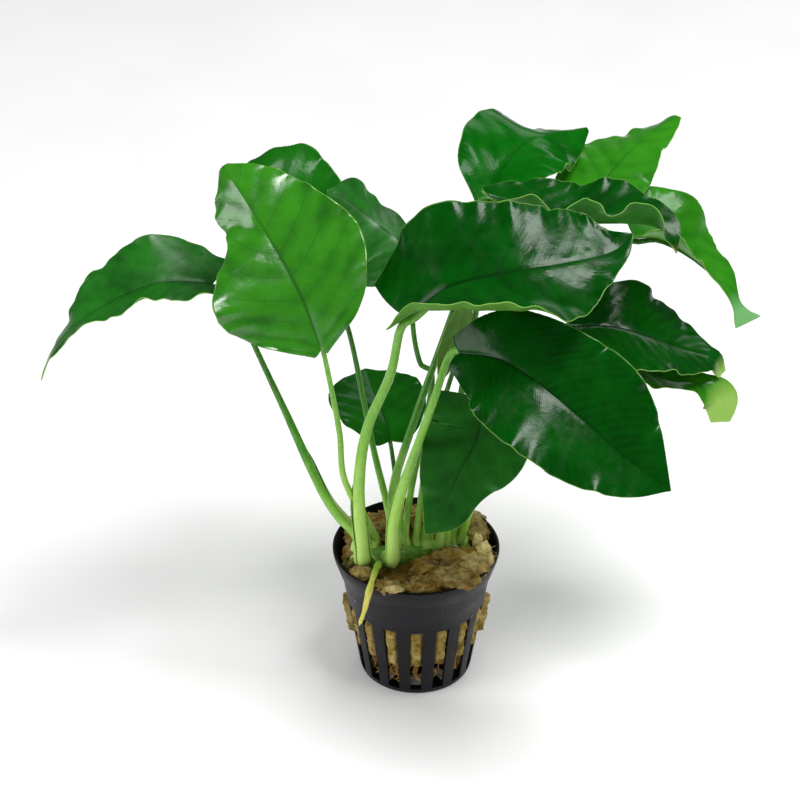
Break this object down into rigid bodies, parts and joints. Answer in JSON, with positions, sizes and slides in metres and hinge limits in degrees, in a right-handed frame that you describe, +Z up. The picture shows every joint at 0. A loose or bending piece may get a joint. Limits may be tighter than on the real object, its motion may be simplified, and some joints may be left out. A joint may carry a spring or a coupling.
{
  "type": "potted anubias",
  "caption": "Potted anubias: broad pointed green leaves on long stalks rise from a creeping rhizome in mineral wool in a tapered black net pot.",
  "frame": {"origin": "centre of the flat underside of the pot", "axes": "+Z up, -Y towards the side of the plant that faces the viewer, +X to that viewer's right, along the plant's widest spread"},
  "size_m": [0.2262, 0.1317, 0.182],
  "materials": {
    "black_plastic": "moulded plastic with a soft sheen",
    "mineral_wool": "matt, fibrous and lumpy",
    "leaf_green": "waxy leaf with a wet sheen",
    "young_leaf_green": "waxy younger leaf with a wet sheen",
    "stalk_green": "smooth fleshy stalk",
    "rhizome_green": "firm green stem with scars",
    "young_root": "smooth fleshy root",
    "old_root": "thin brown root"
  },
  "bodies": {
    "root": {"net_pot": "black_plastic", "rockwool": "mineral_wool", "rhizome": "rhizome_green", "root_over_rim": "young_root", "root_bottom_1": "old_root", "root_bottom_2": "old_root", "root_bottom_3": "old_root", "root_bottom_4": "old_root", "root_bottom_5": "old_root", "leaf_far_left": "leaf_green", "leaf_left_front": "young_leaf_green", "leaf_left_back": "leaf_green", "leaf_left_inner": "leaf_green", "leaf_small_back": "leaf_green", "leaf_centre_large": "leaf_green", "leaf_top_left": "leaf_green", "leaf_top_right": "young_leaf_green", "leaf_upper_edge": "leaf_green", "leaf_right_arching": "young_leaf_green", "leaf_right_middle": "leaf_green", "leaf_right_lower": "leaf_green", "leaf_front_large": "leaf_green", "leaf_front_drooping": "leaf_green", "leaf_inner_hanging": "leaf_green", "petiole_far_left": "stalk_green", "petiole_left_front": "stalk_green", "petiole_left_back": "stalk_green", "petiole_left_inner": "stalk_green", "petiole_small_back": "stalk_green", "petiole_centre_large": "stalk_green", "petiole_top_left": "stalk_green", "petiole_top_right": "stalk_green", "petiole_upper_edge": "stalk_green", "petiole_right_arching": "stalk_green", "petiole_right_middle": "stalk_green", "petiole_right_lower": "stalk_green", "petiole_front_large": "stalk_green", "petiole_front_drooping": "stalk_green", "petiole_inner_hanging": "stalk_green"}
  },
  "joints": []
}
